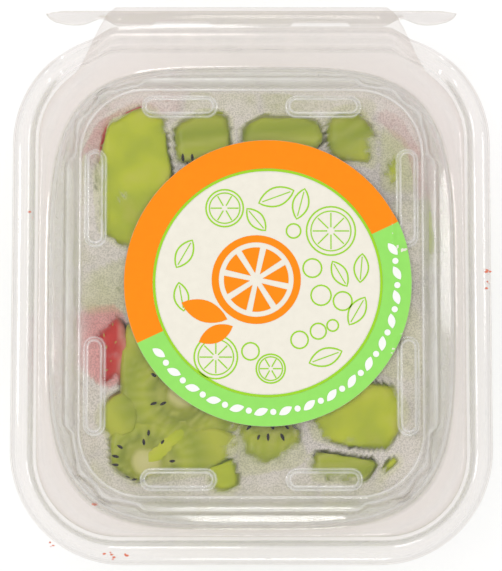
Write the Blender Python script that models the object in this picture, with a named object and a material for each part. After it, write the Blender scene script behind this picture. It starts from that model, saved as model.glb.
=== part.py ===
"""A shut, clear, hinged food pack full of fruit salad: tray, lid, tear strip, round label and fruit.

The pack stands on the flat bottom of its tray, centred on the origin, with its hinge towards +Y.
Both shells are thin formed sheet. Each is built as one skin of rings round the middle, from which
a Solidify modifier makes the sheet. Sizes are in metres, written as millimetres times MM.
"""

import math

import bmesh
import bpy

MM = 0.001

# ---- driving dimensions -------------------------------------------------------------------
SHEET = 0.5 * MM  # thickness of the formed plastic
GAP = 0.3 * MM  # air between pieces that touch
SEAT_Z = 44.0 * MM  # underside of the lid's flange
PANEL_RISE = 12.2 * MM  # top of the lid's panel above the seat
POINTS_ROUND = 72  # points in each ring of the shells

HINGE_Y = 78.6 * MM  # back edge of the lid, where it folds
FLAP_HALF = 36.5 * MM  # the hinge flap's straight half width
FLAP_FLARE = 48.0 * MM  # where the lid's flap has run out into its edge
RIM_LOW_HALF = 50.0 * MM  # the tray's rim lies flat this far each side of the middle
RIM_FULL_HALF = 56.0 * MM  # and has its full height from here on

PANEL_HALF = (45.4 * MM, 54.0 * MM)
BAR_HALF_SPAN = (37.6 * MM, 30.5 * MM)  # ledges beside the panel: left and right, front and back
BAR_DEPTH = (2.2 * MM, 1.9 * MM)
BAR_END = 3.0 * MM  # length over which a ledge runs out

RIB_RISE = 1.3 * MM
RIB_HALF_WIDTH = 2.5 * MM
RIB_CREST = 0.8 * MM  # half width of a rib's flat crest
LONG_RIB = 26.0 * MM
SHORT_RIB = 20.0 * MM
LONG_RIB_AT = (41.1 * MM, 24.8 * MM)
SHORT_RIB_AT = (19.0 * MM, 49.2 * MM)
RIB_END_POINTS = 6  # points round each end of a rib

LABEL_RADIUS = 37.8 * MM
LABEL_AT = (4.3 * MM, 2.4 * MM)
LABEL_THICK = 0.2 * MM
LABEL_CLEAR = 1.1 * MM  # the label bridges this much of a rib's foot

STRIP_TOP_Y = 77.8 * MM
STRIP_FOOT_Y = 75.7 * MM
STRIP_TOP_Z = SEAT_Z - GAP
STRIP_DEPTH = 8.5 * MM

PANEL_Z = SEAT_Z + PANEL_RISE

# ---- the two skins, as rings: half x, half y, corner radius, bow, height --------------------
# bow is how far a ring's sides bulge: 0 is a rounded rectangle, 1 a fourth power superellipse.
TRAY_RINGS = [
    (42.6, 51.0, 15, 0.0, 0.0),
    (44.4, 52.8, 17, 0.0, 0.5),
    (45.6, 54.0, 18, 0.0, 2.2),
    (51.9, 59.6, 22, 0.7, 38.4),
    (53.6, 61.2, 22, 1.0, 39.0),
    (54.2, 61.8, 22, 1.0, 42.7),
    (54.9, 62.4, 22, 0.9, 43.2),
    (58.4, 65.2, 23, 0.0, 43.2),
    (59.1, 66.1, 24, 0.0, 45.6),
    (60.6, 68.0, 26, 0.0, 46.3),
    (62.8, 70.2, 29, 0.0, 45.9),
    (63.8, 71.1, 30, 0.0, 44.6),
    (63.9, 71.2, 30, 0.0, 42.8),
]
# Where the outer tray rings lie behind the hinge flap instead, from ring 8 on: y, height.
TRAY_APRON = [(67.0, 43.2), (70.6, 43.2), (72.4, 42.6), (73.9, 39.5), (74.8, 35.6)]

LID_RINGS = [
    (57.3, 64.1, 22, 0.0, 44.5),
    (55.8, 62.9, 22, 0.6, 44.5),
    (54.9, 62.1, 22, 1.0, 44.5),
    (54.3, 61.6, 22, 1.0, 44.9),
    (53.7, 61.0, 22, 1.0, 50.2),
    (52.9, 60.2, 22, 1.0, 50.9),
    (47.6, 56.4, 18, 0.0, 51.2),
    (47.1, 55.9, 18, 0.0, 53.4),
    (46.5, 55.2, 18, 0.0, 53.8),
    (46.0, 54.6, 17, 0.0, 55.6),
    (45.4, 54.0, 17, 0.0, 56.2),
]
BAR_RINGS = (6, 7)  # the lid rings that step out along the ledges

# ---- fruit ----------------------------------------------------------------------------------
FRUIT_POINTS_ROUND = 48
FRUIT_TOP_RINGS = 7
FRUIT_LEVEL = 52.0 * MM  # height of the heap between its raised pieces
FRUIT_LIMIT = PANEL_Z - SHEET - GAP
FRUIT_WAVE = 1.3 * MM  # how far the heap's sides go in and out
FRUIT_DROP = 1.6 * MM  # how far the top falls towards its edge
# Raised pieces of the heap: x, y, radius, rise above the level, all in millimetres.
FRUIT_PIECES = [
    (-29, 30, 15, 4.4),
    (-12, 41, 10, 3.6),
    (14, 42, 12, 4.0),
    (-39, -12, 9, 4.0),
    (-16, -24, 18, 4.2),
    (-16, -43, 11, 4.0),
    (27, -33, 14, 4.4),
    (29, -48, 9, 3.6),
    (5, -42, 11, 2.4),
    (10, 5, 20, 2.8),
    (38, 8, 10, 2.6),
]
# The heap's side rings: half x, half y, corner radius, bow, height.
FRUIT_RINGS = [
    (40.0, 48.5, 15, 0.0, 0.9),
    (43.0, 51.5, 16, 0.0, 2.6),
    (45.2, 53.3, 17, 0.1, 10.0),
    (46.5, 54.4, 18, 0.2, 17.0),
    (47.7, 55.4, 19, 0.3, 24.0),
    (48.9, 56.5, 20, 0.5, 31.0),
    (50.4, 58.0, 21, 0.6, 38.0),
    (51.2, 58.8, 21, 0.8, 43.0),
    (50.6, 58.2, 20, 0.8, 46.0),
    (47.6, 55.4, 19, 0.4, 48.6),
]
FRUIT_STILL_RINGS = (0, 1)  # the heap's foot has no wave


def clear_scene():
    for obj in list(bpy.data.objects):
        bpy.data.objects.remove(obj)


def smooth(value, low, high):
    """0 below low, 1 above high, with an even start and end."""
    t = min(max((value - low) / (high - low), 0.0), 1.0)
    return t * t * (3 - 2 * t)


def reach(angle, half_x, half_y, corner, bow):
    """Distance from the middle to a ring, along a ray at this angle."""
    c, s = abs(math.cos(angle)), abs(math.sin(angle))
    inner_x, inner_y = half_x - corner, half_y - corner
    along = c * inner_x + s * inner_y
    inside = along**2 - inner_x**2 - inner_y**2 + corner**2
    if c > 1e-9 and half_x / c * s <= inner_y:
        straight = half_x / c
    elif s > 1e-9 and half_y / s * c <= inner_x:
        straight = half_y / s
    else:
        straight = along + math.sqrt(inside)
    bowed = ((c / half_x) ** 4 + (s / half_y) ** 4) ** -0.25
    return straight + (bowed - straight) * bow


def even_angles(half_x, half_y, corner, count):
    """Angles of points spaced evenly along a rounded rectangle."""
    fine = 3600
    turns = [2 * math.pi * i / fine for i in range(fine + 1)]
    outline = []
    for turn in turns:
        r = reach(turn, half_x, half_y, corner, 0.0)
        outline.append((r * math.cos(turn), r * math.sin(turn)))
    run = [0.0]
    for a, b in zip(outline, outline[1:]):
        run.append(run[-1] + math.dist(a, b))
    angles, at = [], 0
    for i in range(count):
        while run[at] < run[-1] * i / count:
            at += 1
        angles.append(turns[at])
    return angles


def ring_points(ring, angles):
    """One ring's points, in metres, and its height."""
    half_x, half_y, corner, bow, z = ring
    points = []
    for angle in angles:
        r = reach(angle, half_x, half_y, corner, bow) * MM
        points.append([r * math.cos(angle), r * math.sin(angle), z * MM])
    return points


def add_ring(bm, points):
    return [bm.verts.new(p) for p in points]


def join_rings(bm, lower, upper):
    count = len(lower)
    for i in range(count):
        j = (i + 1) % count
        bm.faces.new((lower[i], lower[j], upper[j], upper[i]))


def material(name, colour, roughness, alpha=1.0):
    made = bpy.data.materials.new(name)
    made.use_nodes = True
    shader = made.node_tree.nodes["Principled BSDF"]
    shader.inputs["Base Color"].default_value = (*colour, 1.0)
    shader.inputs["Roughness"].default_value = roughness
    shader.inputs["Metallic"].default_value = 0.0
    shader.inputs["Alpha"].default_value = alpha
    return made


def finish_object(name, bm, made_of, shading_angle=35):
    """Turns a bmesh into a named object with outward normals and smooth shading."""
    bmesh.ops.recalc_face_normals(bm, faces=bm.faces)
    mesh = bpy.data.meshes.new(name)
    bm.to_mesh(mesh)
    bm.free()
    mesh.shade_smooth()
    mesh.set_sharp_from_angle(angle=math.radians(shading_angle))
    mesh.materials.append(made_of)
    obj = bpy.data.objects.new(name, mesh)
    bpy.context.collection.objects.link(obj)
    return obj


def thicken(obj, thickness):
    """Makes a sheet of an open skin. The skin stays, and the sheet grows behind its normals."""
    sheet = obj.modifiers.new("Sheet", "SOLIDIFY")
    sheet.thickness = thickness
    sheet.offset = -1.0
    sheet.use_even_offset = True
    sheet.use_quality_normals = True


def face_skin(obj, upwards):
    """Turns an open skin's normals so that its flat middle faces up, or down."""
    mesh = obj.data
    middle = max(mesh.polygons, key=lambda face: face.area)
    if (middle.normal.z > 0) != upwards:
        mesh.flip_normals()


# ---- tray -----------------------------------------------------------------------------------
def lay_apron(points, target):
    """Behind the hinge flap the rim lies flat and then turns down as an apron."""
    target_y, target_z = target[0] * MM, target[1] * MM
    for p in points:
        if p[1] <= 0:
            continue
        low = 1 - smooth(abs(p[0]), RIM_LOW_HALF, RIM_FULL_HALF)
        out = 1 - smooth(abs(p[0]), FLAP_HALF, FLAP_HALF + 7 * MM)
        flat_z = min(p[2], SEAT_Z - GAP - SHEET)
        p[2] += (flat_z - p[2]) * low
        p[1] += (target_y - p[1]) * out
        p[2] += (target_z - p[2]) * out


def make_tray(angles):
    bm = bmesh.new()
    first_apron = len(TRAY_RINGS) - len(TRAY_APRON)
    last = None
    for i, ring in enumerate(TRAY_RINGS):
        points = ring_points(ring, angles)
        if i >= first_apron:
            lay_apron(points, TRAY_APRON[i - first_apron])
        verts = add_ring(bm, points)
        if last is None:
            bm.faces.new(verts)
        else:
            join_rings(bm, last, verts)
        last = verts
    tray = finish_object("tray", bm, material("clear_plastic", (0.9, 0.89, 0.88), 0.08, 0.3))
    face_skin(tray, upwards=False)
    thicken(tray, SHEET)
    return tray


# ---- lid ------------------------------------------------------------------------------------
def step_out(points):
    """Moves a ring's straight stretches out, as the ledges beside the panel."""
    for p in points:
        on_side = 1 - smooth(abs(p[1]), BAR_HALF_SPAN[0] - BAR_END, BAR_HALF_SPAN[0])
        on_end = 1 - smooth(abs(p[0]), BAR_HALF_SPAN[1] - BAR_END, BAR_HALF_SPAN[1])
        if abs(p[0]) * PANEL_HALF[1] > abs(p[1]) * PANEL_HALF[0]:
            p[0] += math.copysign(BAR_DEPTH[0] * on_side, p[0])
        else:
            p[1] += math.copysign(BAR_DEPTH[1] * on_end, p[1])


def flare_to_hinge(points):
    """Runs the back of the lid's edge out to the fold line."""
    for p in points:
        if p[1] > 0:
            share = 1 - smooth(abs(p[0]), FLAP_HALF, FLAP_FLARE)
            p[1] += (HINGE_Y - p[1]) * share


def rib_places():
    """Each rib as its middle, length and whether it runs along Y."""
    places = []
    for sign_x in (-1, 1):
        for sign_y in (-1, 1):
            places.append((sign_x * LONG_RIB_AT[0], sign_y * LONG_RIB_AT[1], LONG_RIB, True))
            places.append((sign_x * SHORT_RIB_AT[0], sign_y * SHORT_RIB_AT[1], SHORT_RIB, False))
    return places


def slot_outline(place, half_width, z):
    """A straight slot's outline with round ends, anticlockwise from above."""
    x, y, length, along_y = place
    straight = length / 2 - RIB_HALF_WIDTH
    points = []
    for end in (1, -1):
        start = -math.pi / 2 if end == 1 else math.pi / 2
        for i in range(RIB_END_POINTS):
            turn = start + math.pi * i / (RIB_END_POINTS - 1)
            u = end * straight + half_width * math.cos(turn)
            v = half_width * math.sin(turn)
            points.append((x - v, y + u, z) if along_y else (x + u, y + v, z))
    return points


def loop_edges(bm, verts):
    edges = []
    for a, b in zip(verts, verts[1:] + verts[:1]):
        edges.append(bm.edges.get((a, b)) or bm.edges.new((a, b)))
    return edges


def add_ribbed_panel(bm, border):
    """Fills the lid's flat panel round its ribs, and raises each rib."""
    edges = loop_edges(bm, border)
    feet = []
    for place in rib_places():
        foot = add_ring(bm, slot_outline(place, RIB_HALF_WIDTH, PANEL_Z))
        edges += loop_edges(bm, foot)
        feet.append((place, foot))
    bmesh.ops.triangle_fill(bm, use_beauty=True, edges=edges, normal=(0, 0, 1))
    for place, foot in feet:
        crest = add_ring(bm, slot_outline(place, RIB_CREST, PANEL_Z + RIB_RISE))
        join_rings(bm, foot, crest)
        bm.faces.new(crest)


def make_lid(angles):
    bm = bmesh.new()
    last = None
    for i, ring in enumerate(LID_RINGS):
        points = ring_points(ring, angles)
        if i == 0:
            flare_to_hinge(points)
        if i in BAR_RINGS:
            step_out(points)
        verts = add_ring(bm, points)
        if last is not None:
            join_rings(bm, last, verts)
        last = verts
    add_ribbed_panel(bm, last)
    lid = finish_object("lid", bm, material("clear_lid", (0.9, 0.89, 0.88), 0.08, 0.3))
    face_skin(lid, upwards=True)
    thicken(lid, SHEET)
    return lid


# ---- tear strip -----------------------------------------------------------------------------
# The strip's lower edge: distance from the middle, depth below its top, in millimetres.
STRIP_STATIONS = [(0, 8.5), (12, 8.5), (24, 8.5), (36, 8.5), (38, 7.2), (40, 4.6), (41.5, 4.2),
                  (43, 5.4), (45.5, 7.4), (48.5, 8.1), (51.2, 7.5), (53.6, 6.2), (55.1, 4.4)]
STRIP_TIP = 55.8
STRIP_TIP_DEPTH = 2.4
STRIP_TOP_RUN = 51.5  # the upper edge is straight to here, then falls to the tip


def strip_point(x, depth, outside):
    """A point of the strip, which leans in towards its foot."""
    share = depth / STRIP_DEPTH
    y = STRIP_TOP_Y + (STRIP_FOOT_Y - STRIP_TOP_Y) * share
    return (x, y + (SHEET if outside else 0.0), STRIP_TOP_Z - depth)


def make_tear_strip():
    right = [(x * MM, depth * MM) for x, depth in STRIP_STATIONS]
    columns = [(-x, depth) for x, depth in reversed(right[1:])] + right
    tip_x, tip_depth = STRIP_TIP * MM, STRIP_TIP_DEPTH * MM
    bm = bmesh.new()
    faces = {}
    for outside in (False, True):
        upper, lower = [], []
        for x, depth in columns:
            fall = tip_depth * 0.6 * smooth(abs(x), STRIP_TOP_RUN * MM, tip_x)
            upper.append(bm.verts.new(strip_point(x, fall, outside)))
            lower.append(bm.verts.new(strip_point(x, depth, outside)))
        left = bm.verts.new(strip_point(-tip_x, tip_depth, outside))
        end = bm.verts.new(strip_point(tip_x, tip_depth, outside))
        faces[outside] = [left] + lower + [end] + upper[::-1]
        for i in range(len(columns) - 1):
            bm.faces.new((upper[i], lower[i], lower[i + 1], upper[i + 1]))
        bm.faces.new((left, lower[0], upper[0]))
        bm.faces.new((lower[-1], end, upper[-1]))
    join_rings(bm, faces[False], faces[True])
    return finish_object("tear_strip", bm, material("clear_strip", (0.9, 0.89, 0.88), 0.12, 0.35))


# ---- label ----------------------------------------------------------------------------------
LABEL_RINGS = [0.35, 0.65, 0.82, 0.91, 1.0]  # as shares of the radius
LABEL_POINTS_ROUND = 48


def slot_distance(x, y, place):
    """Distance from a rib's middle line."""
    rib_x, rib_y, length, along_y = place
    u, v = (y - rib_y, x - rib_x) if along_y else (x - rib_x, y - rib_y)
    straight = length / 2 - RIB_HALF_WIDTH
    return math.hypot(max(abs(u) - straight, 0.0), v)


def rib_height(x, y, grow):
    """Height of the ribs at a point, with every rib made wider by grow."""
    slope = RIB_RISE / (RIB_HALF_WIDTH - RIB_CREST)
    tallest = 0.0
    for place in rib_places():
        inside = RIB_HALF_WIDTH + grow - slot_distance(x, y, place)
        tallest = max(tallest, min(inside * slope, RIB_RISE))
    return tallest


def make_label():
    """A thin disc on the panel, draped over the ends of two ribs."""
    bm = bmesh.new()
    edges = []
    for thickness in (0.0, LABEL_THICK):
        z = PANEL_Z + GAP + thickness
        centre = bm.verts.new((LABEL_AT[0], LABEL_AT[1], z))
        last = None
        for share in LABEL_RINGS:
            points = []
            for i in range(LABEL_POINTS_ROUND):
                turn = 2 * math.pi * i / LABEL_POINTS_ROUND
                x = LABEL_AT[0] + LABEL_RADIUS * share * math.cos(turn)
                y = LABEL_AT[1] + LABEL_RADIUS * share * math.sin(turn)
                points.append((x, y, z + rib_height(x, y, LABEL_CLEAR)))
            verts = add_ring(bm, points)
            if last is None:
                for a, b in zip(verts, verts[1:] + verts[:1]):
                    bm.faces.new((centre, a, b))
            else:
                join_rings(bm, last, verts)
            last = verts
        edges.append(last)
    join_rings(bm, edges[0], edges[1])
    return finish_object("label", bm, material("printed_paper", (1.0, 0.29, 0.0), 0.45))


# ---- fruit ----------------------------------------------------------------------------------
def fruit_height(x, y):
    """The heap's top: a level with raised pieces, flat where they press on the lid."""
    height = FRUIT_LEVEL
    for piece_x, piece_y, radius, rise in FRUIT_PIECES:
        away = math.hypot(x - piece_x * MM, y - piece_y * MM) / (radius * MM)
        height = max(height, FRUIT_LEVEL + rise * MM * (1 - smooth(away, 0.35, 1.0)))
    return min(height, FRUIT_LIMIT)


def make_fruit():
    angles = even_angles(50, 58, 20, FRUIT_POINTS_ROUND)
    bm = bmesh.new()
    last, rim = None, None
    for i, ring in enumerate(FRUIT_RINGS):
        points = ring_points(ring, angles)
        if i not in FRUIT_STILL_RINGS:
            for angle, p in zip(angles, points):
                wave = 0.5 + 0.25 * (math.sin(9 * angle + 2.1 * i) + math.sin(14 * angle - 1.3 * i))
                keep = 1 - FRUIT_WAVE * wave / math.hypot(p[0], p[1])
                p[0] *= keep
                p[1] *= keep
        verts = add_ring(bm, points)
        if last is None:
            bm.faces.new(verts)
        else:
            join_rings(bm, last, verts)
        last, rim = verts, points
    for step in range(1, FRUIT_TOP_RINGS):
        share = 1 - step / FRUIT_TOP_RINGS
        points = []
        for p in rim:
            x, y = p[0] * share, p[1] * share
            edge = FRUIT_DROP * smooth(share, 0.6, 1.0)
            points.append((x, y, fruit_height(x, y) - edge))
        verts = add_ring(bm, points)
        join_rings(bm, last, verts)
        last = verts
    middle = bm.verts.new((0.0, 0.0, fruit_height(0.0, 0.0)))
    for a, b in zip(last, last[1:] + last[:1]):
        bm.faces.new((a, b, middle))
    return finish_object("fruit_salad", bm, material("cut_fruit", (0.38, 0.45, 0.06), 0.35), 60)


def main():
    clear_scene()
    angles = even_angles(63, 71, 30, POINTS_ROUND)
    make_tray(angles)
    make_lid(angles)
    make_tear_strip()
    make_label()
    make_fruit()


main()
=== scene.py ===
"""Looks of a shut, clear, hinged pack of fruit salad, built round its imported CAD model."""

import math
import random

import bmesh
import bpy
import numpy as np
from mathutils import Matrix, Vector, noise
from mathutils.bvhtree import BVHTree


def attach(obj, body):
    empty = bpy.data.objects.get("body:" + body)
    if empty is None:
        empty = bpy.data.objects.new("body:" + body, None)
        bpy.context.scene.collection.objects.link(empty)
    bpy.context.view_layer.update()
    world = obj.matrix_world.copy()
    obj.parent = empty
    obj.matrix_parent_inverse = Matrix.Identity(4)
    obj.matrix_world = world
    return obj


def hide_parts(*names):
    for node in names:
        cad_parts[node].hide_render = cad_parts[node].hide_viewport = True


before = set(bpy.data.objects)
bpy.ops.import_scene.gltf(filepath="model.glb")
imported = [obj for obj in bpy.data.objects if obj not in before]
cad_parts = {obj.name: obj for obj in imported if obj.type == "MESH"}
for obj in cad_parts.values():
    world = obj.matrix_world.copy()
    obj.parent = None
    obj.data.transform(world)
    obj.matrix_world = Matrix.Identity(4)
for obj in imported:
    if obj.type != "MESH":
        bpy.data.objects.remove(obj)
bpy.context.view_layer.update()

MM = 0.001
TAU = 2 * math.pi
PACK, LID = "pack", "lid"
SHEET = 0.4 * MM
SEAT_Z = 44.0 * MM
PANEL_Z = 56.2 * MM
PANEL_UNDER = PANEL_Z - 0.5 * MM
POINTS_ROUND = 216

# ---- the pack's rings, as in the CAD: half x, half y, corner radius, bow, height, in mm ------
TRAY_RINGS = [
    (37.5, 45.9, 12, 0.0, 0.9), (38.6, 47.0, 13, 0.0, 0.8), (39.3, 47.7, 13.5, 0.0, 0.0),
    (42.6, 51.0, 15, 0.0, 0.0), (43.8, 52.2, 16, 0.0, 0.15),
    (44.7, 53.1, 17, 0.0, 0.8), (45.6, 54.0, 18, 0.0, 2.2), (47.1, 55.4, 19, 0.15, 11.0),
    (48.7, 56.7, 20, 0.3, 20.0), (50.3, 58.2, 21, 0.5, 29.5),
    (51.8, 59.5, 22, 0.7, 38.0), (52.0, 59.7, 22, 0.7, 38.5), (53.5, 61.1, 22, 1.0, 38.9),
    (53.7, 61.3, 22, 1.0, 39.4), (54.2, 61.8, 22, 1.0, 42.5), (54.5, 62.1, 22, 1.0, 43.0),
    (55.0, 62.6, 22, 0.9, 43.2), (58.1, 65.0, 23, 0.0, 43.2), (58.5, 65.4, 23, 0.0, 43.5),
    (59.1, 66.1, 24, 0.0, 45.4), (59.6, 66.8, 25, 0.0, 46.0), (60.6, 68.0, 26, 0.0, 46.3),
    (62.2, 69.8, 28, 0.0, 46.1), (63.3, 70.7, 29, 0.0, 45.5), (63.8, 71.1, 30, 0.0, 44.6),
    (63.9, 71.2, 30, 0.0, 42.8),
]
TRAY_FIRST_APRON = 17
TRAY_APRON = [(66.0, 43.2), (67.2, 43.2), (68.6, 43.2), (70.0, 43.2), (71.4, 43.0), (72.4, 42.6),
              (73.3, 41.4), (73.9, 39.5), (74.8, 35.6)]
LID_RINGS = [
    (57.3, 64.1, 22, 0.0, 44.5), (55.6, 62.8, 22, 0.7, 44.5), (54.8, 62.1, 22, 1.0, 44.55),
    (54.4, 61.7, 22, 1.0, 44.9), (54.2, 61.5, 22, 1.0, 45.6), (53.8, 61.1, 22, 1.0, 49.7),
    (53.5, 60.8, 22, 1.0, 50.5), (52.8, 60.1, 22, 1.0, 50.95), (48.0, 56.8, 18, 0.0, 51.15),
    (47.5, 56.3, 18, 0.0, 51.5), (47.2, 56.0, 18, 0.0, 53.1), (47.0, 55.8, 18, 0.0, 53.6),
    (46.5, 55.2, 18, 0.0, 53.85), (46.3, 54.9, 17.5, 0.0, 54.3), (46.0, 54.6, 17, 0.0, 55.6),
    (45.7, 54.3, 17, 0.0, 56.05), (45.1, 53.7, 17, 0.0, 56.2), (44.7, 53.3, 17, 0.0, 56.2),
]
BAR_RINGS = (8, 9, 10, 11, 12)
BAR_HALF_SPAN = (37.6 * MM, 30.5 * MM)
BAR_DEPTH = (2.2 * MM, 1.9 * MM)
BAR_END = 3.0 * MM
BUMP_DEPTH = 1.2 * MM
PANEL_HALF = (45.4 * MM, 54.0 * MM)
RIM_LOW_HALF, RIM_FULL_HALF = 50.0 * MM, 56.0 * MM
FLAP_HALF, FLAP_FLARE = 36.5 * MM, 48.0 * MM
HINGE_Y = 78.6 * MM
RIB_RISE, RIB_HALF_WIDTH = 1.3 * MM, 2.9 * MM
# A rib's cross-section from its foot to its crest: half width, rise, in mm.
RIB_PROFILE = [(3.2, 0.0), (2.9, 0.0), (2.62, 0.1), (2.4, 0.42), (2.22, 0.86), (2.0, 1.14), (1.7, 1.26),
               (1.35, 1.3)]
# Painted highlight: how white the sheet is painted where it is bent most, standing in for the light its bends
# catch, by ring and by level of a rib.
TRAY_CREASE_HIGHLIGHTS = {12: 0.5, 15: 0.6, 18: 0.7, 20: 0.5, 22: 0.6, 24: 0.5}
LID_CREASE_HIGHLIGHTS = {1: 0.35, 4: 0.5, 7: 0.8, 8: 0.3, 9: 0.7, 12: 0.3, 13: 0.8, 15: 0.3, 17: 0.9}
RIB_CREASE_HIGHLIGHTS = {1: 0.5, 2: 1.0, 4: 0.3, 5: 0.9, 6: 0.6}
BUMP_PLACES = [(-38.8, 52.5), (-45.6, 45.1), (36.5, 52.8), (43.3, 47.0), (-45.6, -47.0), (-38.3, -53.8),
               (46.7, -45.5), (40.1, -53.2)]
LONG_RIB, LONG_RIB_AT = 26.0 * MM, (41.1 * MM, 24.8 * MM)
SHORT_RIB, SHORT_RIB_AT = 20.0 * MM, (19.0 * MM, 49.2 * MM)
LABEL_RADIUS = 37.8 * MM
LABEL_AT = (4.3 * MM, 2.4 * MM)


def rgb(red, green, blue):
    """An 8 bit sRGB colour as linear values."""
    return [((c / 255 + 0.055) / 1.055) ** 2.4 if c > 10 else c / 255 / 12.92 for c in (red, green, blue)]


def smooth(value, low, high):
    t = min(max((value - low) / (high - low), 0.0), 1.0)
    return t * t * (3 - 2 * t)


def reach(angle, half_x, half_y, corner, bow):
    """Distance from the middle to a ring, along a ray at this angle."""
    c, s = abs(math.cos(angle)), abs(math.sin(angle))
    inner_x, inner_y = half_x - corner, half_y - corner
    along = c * inner_x + s * inner_y
    inside = along**2 - inner_x**2 - inner_y**2 + corner**2
    if c > 1e-9 and half_x / c * s <= inner_y:
        straight = half_x / c
    elif s > 1e-9 and half_y / s * c <= inner_x:
        straight = half_y / s
    else:
        straight = along + math.sqrt(inside)
    bowed = ((c / half_x) ** 4 + (s / half_y) ** 4) ** -0.25
    return straight + (bowed - straight) * bow


def even_angles(count):
    """Angles of points spaced evenly along the pack's edge."""
    turns = np.linspace(0, TAU, 2881)
    outline = np.array([[reach(t, 63, 71, 30, 0) * f(t) for f in (math.cos, math.sin)] for t in turns])
    run = np.concatenate([[0], np.cumsum(np.linalg.norm(np.diff(outline, axis=0), axis=1))])
    return [float(np.interp(run[-1] * i / count, run, turns)) for i in range(count)]


def ring_points(ring, angles):
    half_x, half_y, corner, bow, z = ring
    points = []
    for angle in angles:
        r = reach(angle, half_x, half_y, corner, bow) * MM
        points.append([r * math.cos(angle), r * math.sin(angle), z * MM])
    return points


def add_object(name, mesh, body, material, replaced=()):
    obj = bpy.data.objects.new(name, mesh)
    bpy.context.collection.objects.link(obj)
    obj.data.materials.append(material)
    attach(obj, body)
    if replaced:
        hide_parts(*replaced)
    return obj


def mesh_from(name, verts, faces, smooth_faces=True):
    mesh = bpy.data.meshes.new(name)
    mesh.from_pydata([tuple(v) for v in verts], [], faces)
    mesh.validate()
    if smooth_faces:
        mesh.shade_smooth()
    mesh.update()
    return mesh


def evaluated(obj):
    """The object's mesh with its modifiers applied, which are then removed."""
    graph = bpy.context.evaluated_depsgraph_get()
    mesh = bpy.data.meshes.new_from_object(obj.evaluated_get(graph))
    obj.modifiers.clear()
    obj.data = mesh
    return mesh


# ---- materials --------------------------------------------------------------------------------
class Nodes:
    """A short way to write a node tree."""

    def __init__(self, name):
        self.material = bpy.data.materials.new(name)
        self.material.use_nodes = True
        self.tree = self.material.node_tree
        self.tree.nodes.clear()
        self.out = self.tree.nodes.new("ShaderNodeOutputMaterial")

    def add(self, kind, sets=None, links=None, **props):
        node = self.tree.nodes.new("ShaderNode" + kind)
        for key, value in props.items():
            setattr(node, key, value)
        for key, value in (sets or {}).items():
            node.inputs[key].default_value = value
        for key, source in (links or {}).items():
            self.tree.links.new(source, node.inputs[key])
        return node

    def math(self, operation, a, b=None, clamp=False):
        node = self.tree.nodes.new("ShaderNodeMath")
        node.operation, node.use_clamp = operation, clamp
        for i, value in enumerate((a, b)):
            if value is None:
                continue
            if isinstance(value, (int, float)):
                node.inputs[i].default_value = value
            else:
                self.tree.links.new(value, node.inputs[i])
        return node.outputs[0]

    def ramp(self, source, stops):
        node = self.tree.nodes.new("ShaderNodeValToRGB")
        elements = node.color_ramp.elements
        while len(elements) < len(stops):
            elements.new(0.5)
        for element, (place, colour) in zip(elements, stops):
            element.position = place
            element.color = (*colour, 1.0)
        self.tree.links.new(source, node.inputs["Fac"])
        return node.outputs["Color"]

    def mix(self, factor, a, b):
        node = self.tree.nodes.new("ShaderNodeMix")
        node.data_type = "RGBA"
        for key, value in (("Factor", factor), ("A", a), ("B", b)):
            socket = [s for s in node.inputs if s.name == key and s.enabled][0]
            if isinstance(value, (int, float)):
                socket.default_value = value
            elif isinstance(value, (list, tuple)):
                socket.default_value = (*value, 1.0)
            else:
                self.tree.links.new(value, socket)
        return [s for s in node.outputs if s.enabled][0]

    def noise(self, scale, detail=2.0, rough=0.5, coord=None):
        source = coord or self.add("TexCoord").outputs["Object"]
        return self.add("TexNoise", {"Scale": scale, "Detail": detail, "Roughness": rough},
                        {"Vector": source}).outputs["Fac"]

    def finish(self, shader):
        self.tree.links.new(shader, self.out.inputs["Surface"])
        return self.material


CLEAR_TINT = rgb(252, 250, 249)
EDGE_TINT = rgb(246, 244, 237)


def clear_material(name, wave=0.02):
    """Thin clear sheet: see-through, darker where it is seen along its wall, glossy by Fresnel, with painted
    white highlight lines along its bends.
    """
    n = Nodes(name)
    facing = n.add("LayerWeight", {"Blend": 0.35}).outputs["Facing"]
    tint = n.ramp(facing, [(0.0, CLEAR_TINT), (0.55, CLEAR_TINT), (0.95, EDGE_TINT)])
    bump = n.add("Bump", {"Strength": wave, "Distance": 0.002}, {"Height": n.noise(90.0, 1.0)})
    see_through = n.add("BsdfTransparent", links={"Color": tint})
    gloss = n.add("BsdfGlossy", {"Roughness": 0.07}, {"Normal": bump.outputs[0]})
    fresnel = n.add("Fresnel", {"IOR": 1.5}, {"Normal": bump.outputs[0]})
    share = n.math("MINIMUM", n.math("MULTIPLY", fresnel.outputs[0], 1.1), 0.32)
    both = n.add("MixShader", links={0: share, 1: see_through.outputs[0], 2: gloss.outputs[0]})
    # Painted highlight: white diffuse mixed in along the sheet's bends, broken up by noise, standing in for
    # the light caught there.
    bent = n.add("Attribute", attribute_name="painted_crease_highlight").outputs["Fac"]
    broken = n.math("ADD", n.math("MULTIPLY", n.noise(140.0, 2.0), 0.5), 0.12)
    painted_highlight = n.add("BsdfDiffuse", {"Color": (*rgb(252, 252, 250), 1)})
    with_highlights = n.add("MixShader", links={0: n.math("MULTIPLY", bent, broken, clamp=True), 1: both.outputs[0],
                                        2: painted_highlight.outputs[0]})
    return n.finish(with_highlights.outputs[0])


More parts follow.
